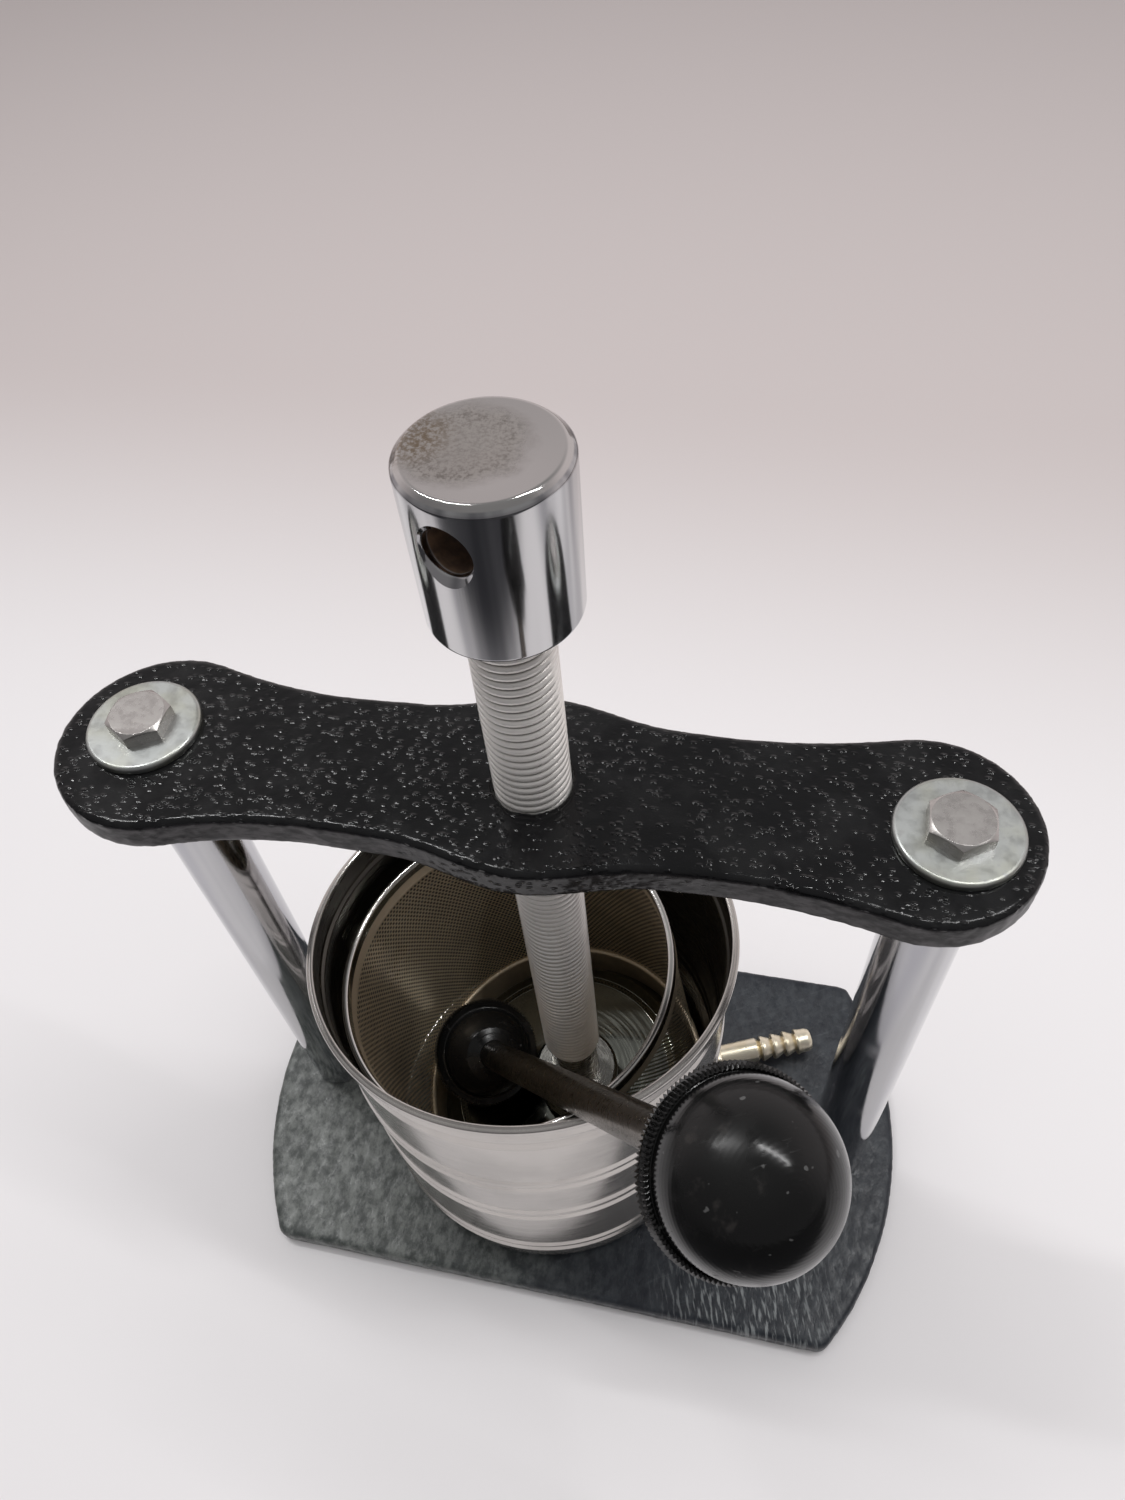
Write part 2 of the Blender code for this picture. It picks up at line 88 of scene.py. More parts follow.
class Finish:
    """One material: a Principled shader and the nodes that drive it."""

    def __init__(self, name, colour, roughness, metallic=0.0, **fixed):
        self.material = bpy.data.materials.new(name)
        self.material.use_nodes = True
        self.tree = self.material.node_tree
        self.shader = self.tree.nodes["Principled BSDF"]
        self.set(self.shader, {"Base Color": colour, "Roughness": roughness, "Metallic": metallic, **fixed})
        self.place = self.node("ShaderNodeTexCoord", {}, {}, "Object")

    def set(self, node, inputs):
        for key, value in inputs.items():
            socket = node.inputs[key]
            if isinstance(value, Value):
                self.tree.links.new(value.socket, socket)
            elif socket.type == "RGBA":
                socket.default_value = (*value, 1.0)
            else:
                socket.default_value = value

    def node(self, kind, settings, inputs, out=0):
        node = self.tree.nodes.new(kind)
        for key, value in settings.items():
            setattr(node, key, value)
        self.set(node, inputs)
        return Value(self, node.outputs[out])

    def paint(self, **inputs):
        """Set the shader's colour, roughness, metallic or normal, to a number or to a Value."""
        names = {"colour": "Base Color", "roughness": "Roughness", "normal": "Normal", "metallic": "Metallic"}
        self.set(self.shader, {names[key]: value for key, value in inputs.items()})
        return self

    def stretched(self, scale, centre=(0, 0, 0), turn=(0, 0, 0)):
        """The place on the piece from its own centre, with each axis scaled."""
        local = self.node("ShaderNodeMapping", {"vector_type": "TEXTURE"},
                          {"Vector": self.place, "Location": centre, "Rotation": turn})
        return self.node("ShaderNodeVectorMath", {"operation": "MULTIPLY"}, {0: local, 1: scale})

    def round_about(self, centre, turn=(0, 0, 0)):
        """Distance from an axis, height along it and angle round it."""
        local = self.node("ShaderNodeMapping", {"vector_type": "TEXTURE"},
                          {"Vector": self.place, "Location": centre, "Rotation": turn})
        axes = self.tree.nodes.new("ShaderNodeSeparateXYZ")
        self.set(axes, {0: local})
        x, y, z = (Value(self, socket) for socket in axes.outputs)
        return (x * x + y * y) ** 0.5, z, y.maths("ARCTAN2", y, x)

    def height(self):
        """Height above the table."""
        axes = self.tree.nodes.new("ShaderNodeSeparateXYZ")
        self.set(axes, {0: self.place})
        return Value(self, axes.outputs["Z"])

    def distance(self, point):
        """Distance from a point of the piece."""
        return self.node("ShaderNodeVectorMath", {"operation": "DISTANCE"}, {0: self.place, 1: point}, "Value")

    def joined(self, x, y, z):
        return self.node("ShaderNodeCombineXYZ", {}, {0: x, 1: y, 2: z})

    def speckle(self, scale, detail=2.0, place=None, rough=0.5):
        return self.node("ShaderNodeTexNoise", {}, {"Vector": place or self.place, "Scale": scale,
                                                    "Detail": detail, "Roughness": rough})

    def cells(self, scale, place):
        return self.node("ShaderNodeTexVoronoi", {"feature": "F1"}, {"Vector": place, "Scale": scale})

    def step(self, value, low, high, start=0.0, end=1.0):
        """Ease from start to end as value goes from low to high."""
        return self.node("ShaderNodeMapRange", {"interpolation_type": "SMOOTHSTEP"},
                         {"Value": value, "From Min": low, "From Max": high, "To Min": start, "To Max": end})

    def mix(self, factor, first, second):
        return self.node("ShaderNodeMix", {"data_type": "RGBA"}, {0: factor, 6: first, 7: second}, 2)

    def bump(self, height, distance):
        return self.node("ShaderNodeBump", {}, {"Height": height, "Distance": distance, "Strength": 1.0})


# --- Finishes --------------------------------------------------------------------------------

def bar_enamel(top):
    """Glossy black enamel over a coarse casting: small glinting pebbles on top; rough cast sides painted grey as
    floor reflection.
    """
    finish = Finish("bar_enamel", (0.005, 0.005, 0.006), 0.2, **{"Specular IOR Level": 0.36})
    drawn = finish.stretched((0.55, 1.0, 1.0))
    pebble = finish.step(finish.cells(680, drawn), 0.04, 0.46, 1.0, 0.0)
    sparse = finish.step(finish.speckle(190, 2.0), 0.36, 0.60)
    height = pebble * (sparse * 0.45 + 0.55) + finish.speckle(1100, 2.0, drawn) * 0.12
    side = finish.step(finish.height(), top - 0.0008, top - 0.0022)
    middle = finish.distance((0.010, -0.030, top))
    # the painted floor reflection on the sides fades out near the middle of the bar
    side = side * finish.step(middle, 0.022, 0.055, 0.25, 1.0)
    rough_cast = finish.speckle(380, 4.0, finish.stretched((0.5, 0.5, 1.0)), 0.6)
    dull = finish.step(finish.speckle(60, 4.0, None, 0.6), 0.42, 0.66)
    colour = finish.mix(dull, (0.004, 0.004, 0.0045), (0.008, 0.008, 0.0085))
    # the sides' grey is a painted reflection of the pale floor, mottled by the real rough cast texture
    grey = finish.mix(finish.step(rough_cast, 0.38, 0.62), (0.012, 0.011, 0.012), (0.075, 0.070, 0.073))
    return finish.paint(colour=finish.mix(side, colour, grey),
                        roughness=finish.step(dull, 0, 1, 0.11, 0.19) + side * 0.25,
                        normal=finish.bump(height * (1 - side) + rough_cast * side * 0.6, 0.00022))


def base_enamel():
    """Blue-black satin enamel, dusty grey-green at the left front, rubbed pale at the right front corner."""
    finish = Finish("base_enamel", (0.010, 0.012, 0.016), 0.35)
    wrinkle = finish.speckle(330, 4.0, finish.stretched((1.0, 0.55, 1.0)), 0.62)
    corner = finish.distance((-0.10, -0.055, 0.009))
    patchy = finish.speckle(34, 5.0, None, 0.65)
    dusty = finish.step(corner + (patchy - 0.5) * 0.07, 0.135, 0.03)
    mottle = finish.step(finish.speckle(260, 4.0, finish.stretched((1.0, 0.7, 1.0)), 0.7), 0.36, 0.66)
    scratch = finish.speckle(1.0, 3.0, finish.stretched((90, 900, 200), (0, 0, 0), (0, 0, 0.5)))
    scratch = finish.step(scratch, 0.62, 0.7)
    worn = finish.mix(mottle, (0.050, 0.057, 0.054), (0.17, 0.182, 0.172))
    clean = finish.mix(mottle * 0.6 + scratch * 0.4, (0.011, 0.0135, 0.019), (0.036, 0.042, 0.049))
    rubbed = finish.distance((0.075, -0.062, 0.009))
    streak = finish.speckle(1.0, 3.0, finish.stretched((900, 150, 1), (0, 0, 0), (0, 0, 0.3)))
    streak = finish.step(streak, 0.5, 0.66) * finish.step(rubbed, 0.040, 0.012)
    clean = finish.mix(streak, clean, (0.20, 0.215, 0.22))
    return finish.paint(colour=finish.mix(dusty, clean, worn),
                        roughness=finish.step(wrinkle, 0.3, 0.7, 0.3, 0.52),
                        normal=finish.bump(wrinkle + finish.speckle(80, 2.0) * 0.6, 0.00028))


def chrome(name, centre):
    """Plated and polished, with faint lengthwise polishing lines and a few smears; its darker bands are painted
    reflection.
    """
    finish = Finish(name, (0.66, 0.66, 0.68), 0.07, 1.0)
    radius, height, angle = finish.round_about(centre)
    line = finish.speckle(1.0, 2.0, finish.joined(angle * 60, height * 14, radius * 10))
    reflection_band = finish.step(finish.speckle(1.0, 2.0, finish.joined(angle * 1.6, height * 3, 0.0)), 0.35, 0.65)
    smear = finish.step(finish.speckle(45, 3.0), 0.5, 0.72, 0.06, 0.16)
    # painted reflection: darker and lighter bands round the chrome stand in for the room it mirrors
    return finish.paint(colour=finish.mix(reflection_band, (0.46, 0.46, 0.49), (0.57, 0.57, 0.58)),
                        roughness=smear + line * 0.04,
                        normal=finish.bump(line, 0.00001))


def head_chrome(centre, top, hole):
    """The screw's head: sides banded dark and bright as painted reflection, a worn top, a brown stain on its rim,
    rust in the cross hole.
    """
    finish = Finish("head_chrome", (0.6, 0.6, 0.61), 0.09, 1.0)
    radius, height, angle = finish.round_about(centre)
    line = finish.speckle(1.0, 3.0, finish.joined(angle * 50, height * 22, radius * 10))
    reflection_band = finish.step(finish.speckle(1.0, 2.0, finish.joined(angle * 2.6, height * 6, 0.0)), 0.36, 0.62)
    grain = finish.speckle(1300, 4.0, None, 0.7)
    patch = finish.speckle(90, 4.0, None, 0.6)
    middle = finish.distance((centre[0] - 0.0030, 0.001, top))
    face = finish.step(height, top - 0.0004, top - 0.0001)
    worn = face * finish.step(middle + (patch - 0.5) * 0.010, 0.0135, 0.0085)
    spots = worn * finish.step(grain, 0.40, 0.66) * finish.step(middle, 0.004, 0.0115, 0.45, 1.0)
    # painted reflection: strong dark and bright bands round the sides of the head
    bright = finish.mix(reflection_band, (0.30, 0.30, 0.315), (0.66, 0.655, 0.66))
    bright = finish.mix(face, bright, (0.62, 0.60, 0.59))
    dull = finish.mix(spots, (0.44, 0.41, 0.39), (0.22, 0.20, 0.185))
    colour = finish.mix(worn, bright, dull)
    edge = finish.distance((centre[0] - 0.0150, 0.0020, top - 0.001))
    stain = finish.step(edge, 0.011, 0.004) * finish.step(grain, 0.35, 0.6)
    colour = finish.mix(stain * 0.7, colour, (0.20, 0.14, 0.08))
    bore = finish.step(radius, 0.0148, 0.0140) * finish.step(height, hole + 0.0065, hole + 0.006)
    rust = finish.mix(finish.step(patch, 0.4, 0.6), (0.08, 0.05, 0.035), (0.24, 0.15, 0.09))
    colour = finish.mix(bore, colour, rust)
    rough = finish.step(worn, 0, 1, 0.08, 0.36) + bore * 0.5 + line * 0.05
    return finish.paint(colour=colour, roughness=rough, metallic=1 - bore,
                        normal=finish.bump(worn * grain * 0.5 + bore * finish.speckle(500, 2.0) * 2, 0.00010))


def screw_steel(centre, crest):
    """Bright rolled crests; the colour turns dark towards the bottom of the thread."""
    finish = Finish("screw_steel", (0.84, 0.82, 0.79), 0.3, 0.5)
    radius, height, angle = finish.round_about(centre)
    nick = finish.speckle(420, 3.0, None, 0.6)
    # the colour darkens towards the root of the thread
    root_dark = finish.step(radius, crest - 0.0010, crest - 0.0003, 0.95, 0.0)
    colour = finish.mix(finish.step(nick, 0.58, 0.80), (0.98, 0.95, 0.91), (0.78, 0.75, 0.71))
    colour = finish.mix(root_dark, colour, (0.07, 0.058, 0.048))
    rub = finish.speckle(1.0, 3.0, finish.joined(angle * 5, height * 900, radius * 200))
    return finish.paint(colour=colour, roughness=finish.step(rub, 0.3, 0.7, 0.28, 0.40) + root_dark * 0.2)


def plain_steel(name, colour, centre, turn=(0, 0, 0), rough=(0.18, 0.34)):
    """Turned bar with fine marks round it."""
    finish = Finish(name, colour, 0.25, 1.0)
    radius, height, angle = finish.round_about(centre, turn)
    rub = finish.speckle(1.0, 3.0, finish.joined(angle * 3, height * 1500, radius * 1500))
    dull = finish.step(finish.speckle(60, 3.0), 0.45, 0.7)
    return finish.paint(colour=finish.mix(dull * 0.5, colour, tuple(c * 0.7 for c in colour)),
                        roughness=finish.step(rub, 0.3, 0.7, *rough), normal=finish.bump(rub, 0.00002))


def zinc():
    """Passivated zinc: pale grey with a green and yellow cast and fine scuffs."""
    finish = Finish("zinc_plate", (0.62, 0.63, 0.61), 0.35, 1.0)
    cast = finish.step(finish.speckle(70, 3.0), 0.4, 0.65)
    dent = finish.speckle(220, 3.0, None, 0.6)
    scuff = finish.step(finish.speckle(1100, 3.0, finish.stretched((1.0, 0.25, 1.0)), 0.7), 0.5, 0.75)
    colour = finish.mix(cast, (0.53, 0.55, 0.54), (0.52, 0.53, 0.47))
    colour = finish.mix(finish.step(dent, 0.60, 0.75) + scuff * 0.3, colour, (0.45, 0.46, 0.45))
    return finish.paint(colour=colour, roughness=finish.step(dent, 0.3, 0.7, 0.3, 0.46),
                        normal=finish.bump(dent, 0.00003))


def bolt_zinc():
    """The same plating on the pressed bolt heads, a little warmer and duller."""
    finish = Finish("bolt_zinc", (0.60, 0.57, 0.55), 0.3, 1.0)
    dent = finish.speckle(260, 3.0, None, 0.6)
    colour = finish.mix(finish.step(dent, 0.4, 0.7), (0.64, 0.61, 0.59), (0.52, 0.50, 0.48))
    return finish.paint(colour=colour, roughness=finish.step(dent, 0.3, 0.7, 0.22, 0.36),
                        normal=finish.bump(dent, 0.00005))


def stainless(name, colour, centre, turn=(0, 0, 0), rough=(0.12, 0.24), marks=0.000012):
    """Spun sheet: fine rings round the axis and soft cloudy polish."""
    finish = Finish(name, colour, 0.2, 1.0)
    radius, height, angle = finish.round_about(centre, turn)
    ring = finish.speckle(1.0, 3.0, finish.joined(angle * 1.5, height * 1400, radius * 1400))
    cloud = finish.speckle(38, 4.0)
    tint = tuple(c * 0.82 for c in colour)
    return finish.paint(colour=finish.mix(finish.step(cloud, 0.4, 0.7), colour, tint),
                        roughness=finish.step(ring * 0.6 + cloud * 0.4, 0.35, 0.65, *rough),
                        normal=finish.bump(ring, marks))


def brass(name):
    """Turned pale brass, a little tarnished."""
    finish = Finish(name, (0.80, 0.72, 0.55), 0.3, 1.0)
    tarnish = finish.step(finish.speckle(120, 3.0), 0.42, 0.70)
    return finish.paint(colour=finish.mix(tarnish, (0.98, 0.90, 0.72), (0.86, 0.76, 0.55)),
                        roughness=finish.step(finish.speckle(300, 2.0), 0.3, 0.7, 0.3, 0.42))


def rubber():
    finish = Finish("gasket_rubber", (0.02, 0.02, 0.02), 0.7)
    grain = finish.speckle(900, 2.0)
    return finish.paint(colour=finish.mix(grain, (0.012, 0.012, 0.012), (0.032, 0.031, 0.03)),
                        normal=finish.bump(grain, 0.00005))


def knob_plastic():
    """Moulded black plastic, polished by hands: cloudy sheen, smudges partly painted sheen, dust specks, fine
    scratches.
    """
    finish = Finish("knob_plastic", (0.006, 0.006, 0.006), 0.2, **{"Specular IOR Level": 0.34})
    dust = finish.step(finish.speckle(420, 1.0), 0.74, 0.78)
    cloud = finish.step(finish.speckle(60, 4.0, None, 0.6), 0.42, 0.68)
    smudge_and_sheen = finish.step(finish.speckle(230, 3.0, finish.stretched((1.0, 1.0, 0.4)), 0.6), 0.56, 0.72) * cloud
    scratch = finish.speckle(1.0, 2.0, finish.stretched((220, 1500, 300), (0, 0, 0), (0.4, 0.3, 0.6)))
    # lighter patches: partly handling smudges, partly a painted soft sheen
    colour = finish.mix(smudge_and_sheen, (0.005, 0.005, 0.005), (0.022, 0.020, 0.019))
    rough = finish.step(cloud, 0, 1, 0.16, 0.32)
    return finish.paint(colour=finish.mix(dust, colour, (0.07, 0.07, 0.07)),
                        roughness=rough + finish.step(scratch, 0.66, 0.72) * 0.15,
                        normal=finish.bump(finish.speckle(120, 2.0), 0.00005))


# --- Shapes ----------------------------------------------------------------------------------

def add_piece(name, bm, body, finish, stands_for, sharp=32.0):
    """Make a shaded piece of a mesh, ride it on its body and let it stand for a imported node."""
    mesh = bpy.data.meshes.new(name)
    bm.to_mesh(mesh)
    bm.free()
    mesh.shade_smooth()
    mesh.set_sharp_from_angle(angle=radians(sharp))
    mesh.materials.append(finish.material)
    piece = bpy.data.objects.new(name, mesh)
    bpy.context.scene.collection.objects.link(piece)
    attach(piece, body)
    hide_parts(*stands_for)
    return piece


def rounded(corners, steps=4):
    """A profile in which a corner with a third number is rounded to that radius."""
    points = []
    for i, corner in enumerate(corners):
        here = Vector(corner[:2])
        if len(corner) == 2:
            points.append(here)
            continue
        before = (Vector(corners[i - 1][:2]) - here).normalized()
        after = (Vector(corners[(i + 1) % len(corners)][:2]) - here).normalized()
        half = before.angle(after) / 2
        middle = here + (before + after).normalized() * (corner[2] / sin(half))
        start = here + before * (corner[2] / tan(half)) - middle
        end = here + after * (corner[2] / tan(half)) - middle
        points += [middle + start.slerp(end, k / steps) for k in range(steps + 1)]
    return points


def held(profile, closed, margin=0.2):
    """The profile with a point close to both ends of each long run, so that it shades flat."""
    points = [Vector(point) for point in profile]
    pairs = list(zip(points, points[1:] + (points[:1] if closed else [])))
    kept = []
    for start, end in pairs:
        kept.append(start)
        if (end - start).length > 5 * margin:
            step = (end - start).normalized() * margin
            kept += [start + step, end - step]
    return kept if closed else kept + points[-1:]


def turn_profile(profile, place, steps, closed):
    """A bmesh of a profile turned about the Z axis of place."""
    bm = bmesh.new()
    points = [bm.verts.new((r * MM, 0.0, z * MM)) for r, z in held(profile, closed)]
    edges = [bm.edges.new(pair) for pair in zip(points, points[1:] + (points[:1] if closed else []))]
    bmesh.ops.spin(bm, geom=points + edges, cent=(0, 0, 0), axis=(0, 0, 1), angle=2 * pi, steps=steps,
                   use_merge=True)
    bmesh.ops.remove_doubles(bm, verts=bm.verts, dist=1e-7)
    bmesh.ops.recalc_face_normals(bm, faces=bm.faces)
    bmesh.ops.transform(bm, matrix=place, verts=bm.verts)
    return bm


def turned(name, corners, place, body, finish, stands_for, steps=128, closed=False, sharp=32.0):
    bm = turn_profile(rounded(corners), place, steps, closed)
    return add_piece(name, bm, body, finish, stands_for, sharp)


def upright(x, y=0.0, z=0.0):
    return Matrix.Translation((x, y, z))


def along(start, direction):
    """Place whose Z axis runs along direction from start, in metres."""
    return Matrix.Translation(start) @ Vector(direction).to_track_quat("Z", "Y").to_matrix().to_4x4()


def copied(node):
    """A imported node's mesh with its loose triangles merged into whole faces."""
    bm = bmesh.new()
    bm.from_mesh(frame["nodes"][node].data)
    bmesh.ops.remove_doubles(bm, verts=bm.verts, dist=1e-7)
    bmesh.ops.dissolve_limit(bm, angle_limit=radians(0.5), verts=bm.verts, edges=bm.edges)
    return bm


def refinish(node, finish):
    """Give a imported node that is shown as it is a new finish."""
    materials = frame["nodes"][node].data.materials
    materials.clear()
    materials.append(finish.material)


def eased(node, width, body, finish, name):
    """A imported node's shape with its edges eased, for bolts and small hardware."""
    piece = add_piece(name, copied(node), body, finish, [node])
    ease = piece.modifiers.new("Ease", "BEVEL")
    ease.width = width * MM
    ease.segments = 2
    ease.limit_method = "ANGLE"
    ease.angle_limit = radians(25)
    ease.harden_normals = True
    return piece


def cast(node, name, grain, finish, wave):
    """A painted casting: the node's shape with softened edges and a surface that is never quite flat."""
    rough = bpy.data.objects.new(name + "_rough", bpy.data.meshes.new(name))
    bm = copied(node)
    bm.to_mesh(rough.data)
    bm.free()
    bpy.context.scene.collection.objects.link(rough)
    skin = rough.modifiers.new("Skin", "REMESH")
    skin.mode = "VOXEL"
    skin.voxel_size = grain * MM
    bm = bmesh.new()
    bm.from_object(rough, bpy.context.evaluated_depsgraph_get())
    bpy.data.objects.remove(rough)
    for _ in range(2):
        bmesh.ops.smooth_vert(bm, verts=bm.verts, factor=0.5, use_axis_x=True, use_axis_y=True, use_axis_z=True)
    bm.normal_update()
    for vert in bm.verts:
        lift = noise.noise(vert.co * 90) * 0.5 + noise.noise(vert.co * 500) * 0.5
        side = 1.0 + 1.5 * (1.0 - abs(vert.normal.z))
        vert.co += vert.normal * lift * side * wave * MM
    return add_piece(name, bm, "frame", finish, [node], 180.0)


# --- Frame -----------------------------------------------------------------------------------

bar_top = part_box("crossbar")[1].z
cast("base_plate", "base_casting", 1.1, base_enamel(), 0.14)
cast("crossbar", "crossbar_casting", 0.72, bar_enamel(bar_top), 0.12)

zinc_plate = zinc()
bolt_finish = bolt_zinc()
BOLT_FLATS = 14.8
BOLT_CROWN, CROWN_REACH, CROWN_DROP = 7.1, 3.0, 1.7  # radius of the flat top, then the chamfer's run and fall
BOLT_SHANK, WASHER_BORE = 5.0, 5.3


def joined_solids(first, second, operation):
    """The Boolean of two closed meshes, as a new bmesh."""
    objects = []
    for bm in (first, second):
        obj = bpy.data.objects.new("solid", bpy.data.meshes.new("solid"))
        bm.to_mesh(obj.data)
        bm.free()
        bpy.context.scene.collection.objects.link(obj)
        objects.append(obj)
    cut = objects[0].modifiers.new("Cut", "BOOLEAN")
    cut.operation = operation
    cut.object = objects[1]
    cut.solver = "EXACT"
    made = bmesh.new()
    made.from_object(objects[0], bpy.context.evaluated_depsgraph_get())
    for obj in objects:
        bpy.data.objects.remove(obj)
    return made


def bolt(x, seat, box):
    """Hexagon head, chamfered round its flat top, on a plain shank."""
    top, tip = box[1].z / MM, box[0].z / MM
    hexagonal = bmesh.new()
    corner = BOLT_FLATS / 2 / cos(pi / 6) * MM
    bmesh.ops.create_cone(hexagonal, cap_ends=True, segments=6, radius1=corner, radius2=corner,
                          depth=(top - seat) * MM, matrix=upright(x, 0, (top + seat) / 2 * MM))
    wide = BOLT_CROWN + CROWN_REACH
    crown = turn_profile([(0, top), (BOLT_CROWN, top), (wide, top - CROWN_DROP), (wide, seat - 1), (0, seat - 1)],
                         upright(x), 96, False)
    head = joined_solids(hexagonal, crown, "INTERSECT")
    creases = [edge for edge in head.edges if edge.calc_face_angle(0) > radians(20)]
    bmesh.ops.bevel(head, geom=creases, offset=0.18 * MM, offset_type="OFFSET", segments=2, profile=0.5,
                    affect="EDGES", material=-1, clamp_overlap=True)
    shank = turn_profile([(0, seat + 2), (BOLT_SHANK, seat + 2), (BOLT_SHANK, tip + 1), (BOLT_SHANK - 1, tip),
                          (0, tip)], upright(x), 48, False)
    return joined_solids(head, shank, "UNION")


for side in ("left", "right"):
    low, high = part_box(f"{side}_pillar")
    x = (low.x + high.x) / 2
    radius, foot, top = (high.x - low.x) / 2 / MM, low.z / MM, high.z / MM
    turned(f"{side}_pillar_chrome", [(0, top), (radius, top, 0.6), (radius, foot, 0.6), (0, foot)],
           upright(x), "frame", chrome(f"{side}_pillar_plate", (x, 0, 0)), [f"{side}_pillar"], 96)
    low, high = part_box(f"{side}_top_washer")
    radius, foot, top = (high.x - low.x) / 2 / MM, low.z / MM, high.z / MM
    turned(f"{side}_washer", [(WASHER_BORE, top, 0.3), (radius, top, 0.4), (radius, foot, 0.3),
                              (WASHER_BORE, foot, 0.3)],
           upright(x), "frame", zinc_plate, [f"{side}_top_washer"], 96, closed=True)
    add_piece(f"{side}_bolt", bolt(x, top + 0.3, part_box(f"{side}_top_bolt")), "frame", bolt_finish,
              [f"{side}_top_bolt"], 20.0)
    refinish(f"{side}_base_screw", zinc_plate)

# --- Press screw -----------------------------------------------------------------------------

low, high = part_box("screw_head")
screw_x = (low.x + high.x) / 2
head_low, head_top, head_radius = low.z / MM, high.z / MM, (high.x - low.x) / 2 / MM
screw_low, screw_high = (corner.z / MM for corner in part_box("press_screw"))
screw_radius = (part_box("press_screw")[1].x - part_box("press_screw")[0].x) / 2 / MM
PITCH, ROOT, THREAD_START = 2.5, 8.25, 76.0
CREST = [(0.75, 0.22), (0.38, 0.42), (0.12, 0.72), (0.0, 1.10),  # depth below the crest, height in one pitch
         (0.0, 1.50), (0.12, 1.88), (0.38, 2.16), (0.75, 2.34)]
JOURNAL, GROOVE, GROOVE_HALF_WIDTH = 8.0, 6.3, 1.8


def thread(steps=48):
    """Right-hand thread: one pitch of its profile, turned up the screw and capped."""
    bm = bmesh.new()
    shape = [(ROOT, 0.0), (ROOT, 0.08)] + [(screw_radius - deep, z) for deep, z in CREST] + [(ROOT, PITCH)]
    start = THREAD_START - PITCH
    points = [bm.verts.new((r * MM, 0.0, (start + z) * MM)) for r, z in shape]
    edges = [bm.edges.new(pair) for pair in zip(points, points[1:])]
    bmesh.ops.spin(bm, geom=points + edges, cent=(0, 0, 0), axis=(0, 0, 1), angle=2 * pi, steps=steps,
                   dvec=(0, 0, PITCH * MM / steps))
    turns = 1
    while turns * PITCH < screw_high - start:
        copy = bmesh.ops.duplicate(bm, geom=bm.verts[:] + bm.edges[:] + bm.faces[:])["geom"]
        verts = [item for item in copy if isinstance(item, bmesh.types.BMVert)]
        bmesh.ops.translate(bm, vec=(0, 0, turns * PITCH * MM), verts=verts)
        turns *= 2
    bmesh.ops.remove_doubles(bm, verts=bm.verts, dist=1e-6)
    for height, way in ((THREAD_START, -1), (screw_high - 1.0, 1)):
        cut = bmesh.ops.bisect_plane(bm, geom=bm.verts[:] + bm.edges[:] + bm.faces[:], dist=1e-7,
                                     plane_co=(0, 0, height * MM), plane_no=(0, 0, way), clear_outer=True)
        rim = [item for item in cut["geom_cut"] if isinstance(item, bmesh.types.BMEdge)]
        bmesh.ops.contextual_create(bm, geom=rim)
    for vert in bm.verts:
        reach = (JOURNAL + max(0.0, vert.co.z / MM - THREAD_START) * 1.1) * MM
        if vert.co.xy.length > reach:
            vert.co.xy *= reach / vert.co.xy.length
    bmesh.ops.recalc_face_normals(bm, faces=bm.faces)
    bmesh.ops.transform(bm, matrix=upright(screw_x), verts=bm.verts)
    return bm


steel = screw_steel((screw_x, 0, 0), screw_radius * MM)
add_piece("screw_thread", thread(), "screw", steel, ["press_screw"], 50.0)
grub_z = (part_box("front_grub_screw")[0].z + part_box("front_grub_screw")[1].z) / 2 / MM
groove_top, groove_low = grub_z + GROOVE_HALF_WIDTH, grub_z - GROOVE_HALF_WIDTH
turned("screw_journal",
       [(0, THREAD_START + 0.5), (JOURNAL, THREAD_START + 0.5), (JOURNAL, groove_top, 0.3), (GROOVE, groove_top),
        (GROOVE, groove_low), (JOURNAL, groove_low, 0.3), (JOURNAL, screw_low, 0.8), (0, screw_low)],
       upright(screw_x), "screw", plain_steel("journal_steel", (0.36, 0.34, 0.31), (screw_x, 0, 0)),
       ["press_screw"], 96)

HEAD_CHAMFER, HEAD_DROP, HEAD_BORE = 1.3, 1.2, 10.0
CROSS_HOLE_Z, CROSS_HOLE_RADIUS, CROSS_HOLE_TURN = 320.3, 5.8, radians(-106.0)
FLARE, FLARE_DEPTH = 3.0, 1.2


def head():
    """Cylinder with a chamfered top, a cross hole with a countersink each side and the screw's bore."""
    body = turn_profile(rounded([(0, head_top), (head_radius - HEAD_CHAMFER, head_top, 0.35),
                                 (head_radius, head_top - HEAD_DROP, 0.35), (head_radius, head_low, 0.7),
                                 (0, head_low)]), upright(screw_x), 160, False)
    way = Vector((cos(CROSS_HOLE_TURN), sin(CROSS_HOLE_TURN), 0))
    mouth, flare = head_radius - FLARE_DEPTH, CROSS_HOLE_RADIUS + FLARE
    hole = turn_profile(rounded([(0, mouth + 3), (flare, mouth + 3), (CROSS_HOLE_RADIUS, mouth, 0.4),
                                 (CROSS_HOLE_RADIUS, -mouth, 0.4), (flare, -mouth - 3), (0, -mouth - 3)]),
                        along(Vector((screw_x, 0, CROSS_HOLE_Z * MM)), way), 64, False)
    bore = turn_profile([(0, screw_high + 0.3), (HEAD_BORE, screw_high + 0.3), (HEAD_BORE, head_low - 5),
                         (0, head_low - 5)], upright(screw_x), 96, False)
    return joined_solids(joined_solids(body, hole, "DIFFERENCE"), bore, "DIFFERENCE")


add_piece("screw_head_chrome", head(), "screw", head_chrome((screw_x, 0, 0), head_top * MM, CROSS_HOLE_Z * MM),
          ["screw_head"], 28.0)

